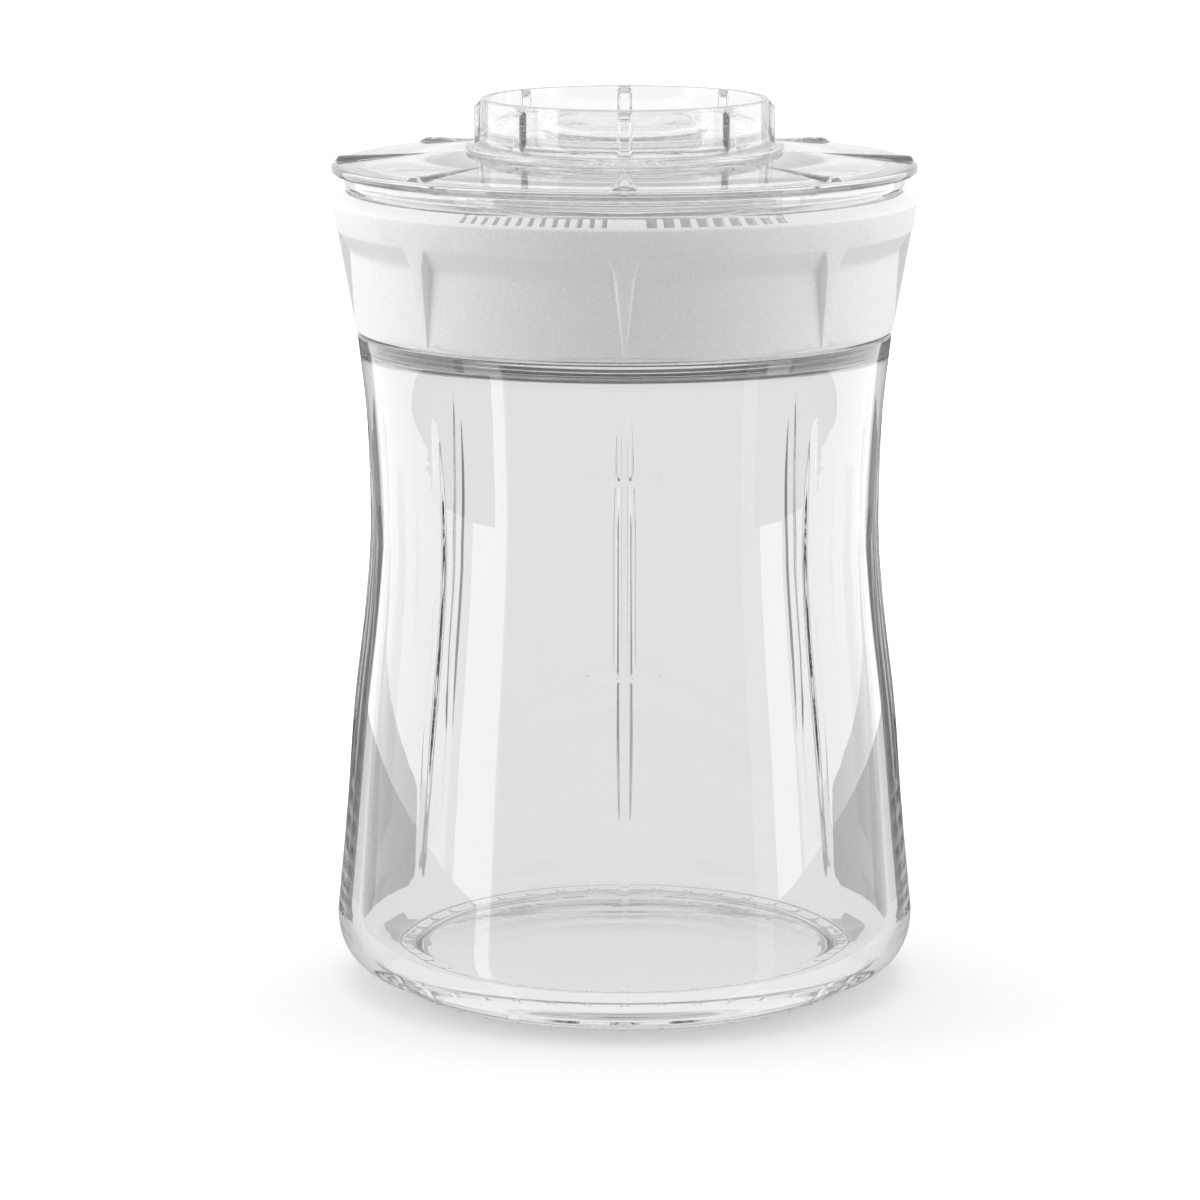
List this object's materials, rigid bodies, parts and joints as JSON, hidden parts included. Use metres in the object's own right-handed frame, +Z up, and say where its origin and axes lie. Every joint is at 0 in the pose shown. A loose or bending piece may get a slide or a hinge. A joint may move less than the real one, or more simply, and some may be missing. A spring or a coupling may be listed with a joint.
{
  "type": "kefir fermentation jar",
  "caption": "Waisted ribbed glass jar with a screw-on white strainer collar, a clear turning lid, a lift-out citrus reamer and a clear measuring cap, for fermenting and straining kefir.",
  "frame": {"origin": "middle of the resting plane under the foot", "axes": "+Z up along the jar's axis, -Y towards the front with the straining slots, +X to the right as seen from the front"},
  "size_m": [0.115, 0.115, 0.1763],
  "materials": {
    "jar_glass": "clear pressed soda-lime glass, fire polished",
    "clear_plastic": "clear moulded copolyester, polished",
    "collar_plastic": "white moulded polypropylene, fine spark-eroded texture",
    "seal_silicone": "translucent moulded silicone"
  },
  "bodies": {
    "glass_jar": {"glass_jar": "jar_glass"},
    "neck_seal": {"neck_seal": "seal_silicone"},
    "strainer_collar": {"strainer_collar": "collar_plastic"},
    "lid_seal": {"lid_seal": "seal_silicone"},
    "main_lid": {"main_lid": "clear_plastic"},
    "citrus_reamer": {"citrus_reamer": "clear_plastic"},
    "cap_seal": {"cap_seal": "seal_silicone"},
    "measuring_cap": {"measuring_cap": "clear_plastic"}
  },
  "joints": [
    {"name": "collar_rise", "type": "slide", "parent": "glass_jar", "child": "neck_seal", "axis": [0, 0, 1], "range_m": [0, 0.02]},
    {"name": "collar_turn", "type": "hinge", "parent": "neck_seal", "child": "strainer_collar", "pos_m": [0, 0, 0.14], "axis": [0, 0, 1], "range_deg": [0, 360]},
    {"name": "lid_lift", "type": "slide", "parent": "strainer_collar", "child": "lid_seal", "axis": [0, 0, 1], "range_m": [0, 0.03]},
    {"name": "lid_turn", "type": "hinge", "parent": "lid_seal", "child": "main_lid", "pos_m": [0, 0, 0.16], "axis": [0, 0, 1], "continuous": true},
    {"name": "reamer_lift", "type": "slide", "parent": "main_lid", "child": "citrus_reamer", "axis": [0, 0, 1], "range_m": [0, 0.025]},
    {"name": "cap_lift", "type": "slide", "parent": "citrus_reamer", "child": "cap_seal", "axis": [0, 0, 1], "range_m": [0, 0.025]},
    {"name": "cap_turn", "type": "hinge", "parent": "cap_seal", "child": "measuring_cap", "pos_m": [0, 0, 0.17], "axis": [0, 0, 1], "continuous": true}
  ],
  "couplings": [
    {"joint": "collar_rise", "follows": "collar_turn", "m_per_rad": 0.0031831}
  ]
}
